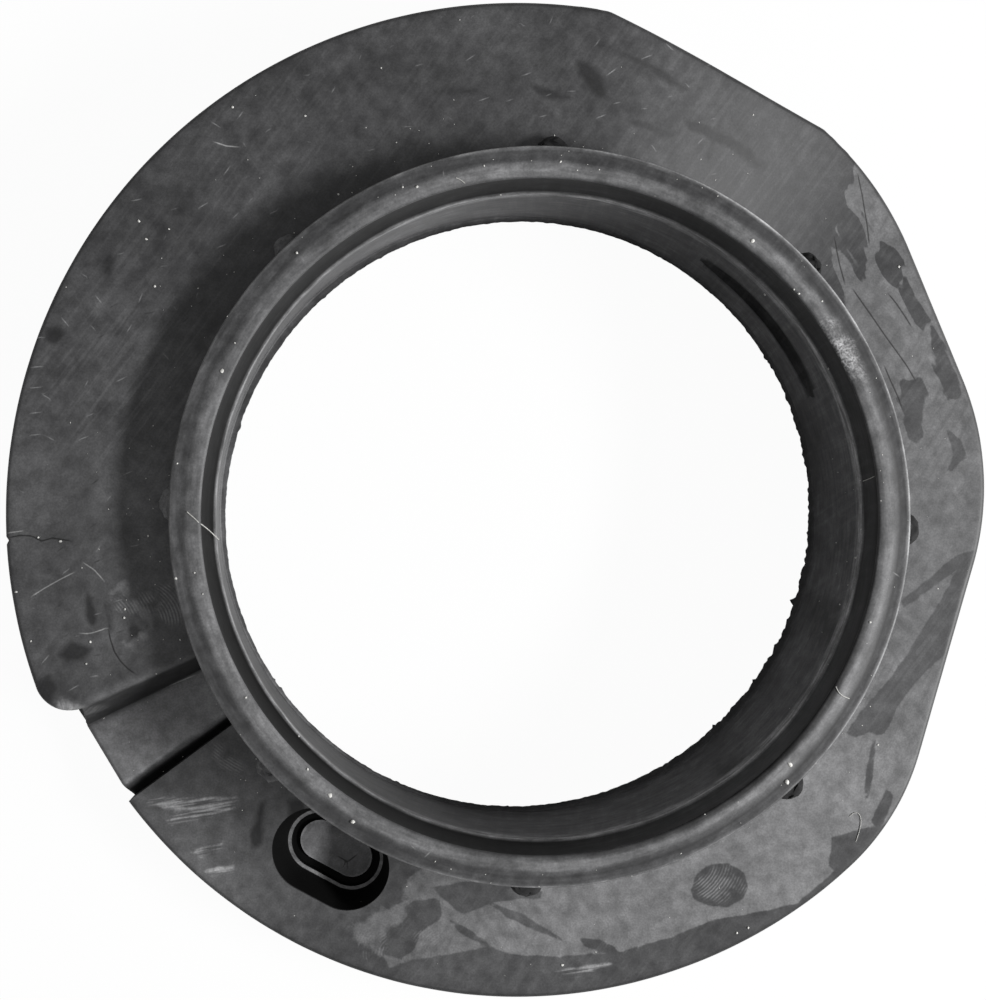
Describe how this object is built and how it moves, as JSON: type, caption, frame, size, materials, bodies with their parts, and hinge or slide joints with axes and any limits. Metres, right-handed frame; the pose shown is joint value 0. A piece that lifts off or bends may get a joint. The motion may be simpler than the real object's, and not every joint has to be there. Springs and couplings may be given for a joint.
{
  "type": "strut mount spring seat",
  "caption": "One-piece moulded rubber spring seat for a strut mount: flat-bottomed ring with a ramped seat, stop lobe, eccentric ribbed collar and locating pocket.",
  "frame": {"origin": "centre of the ring's bounding box on its flat underside; the bore's axis is vertical and stands 1.44 mm from the origin towards +X", "axes": "+Z along the bore's axis, up through the collar; +X from the bore towards the flange's rounded corner between its two long flats, opposite the raised lobe"},
  "size_m": [0.1512, 0.154, 0.027],
  "materials": {
    "moulded_rubber": "semi-matt black moulded rubber with handling smears, dust and flash at the bore"
  },
  "bodies": {
    "root": {"spring_seat": "moulded_rubber"}
  },
  "joints": []
}
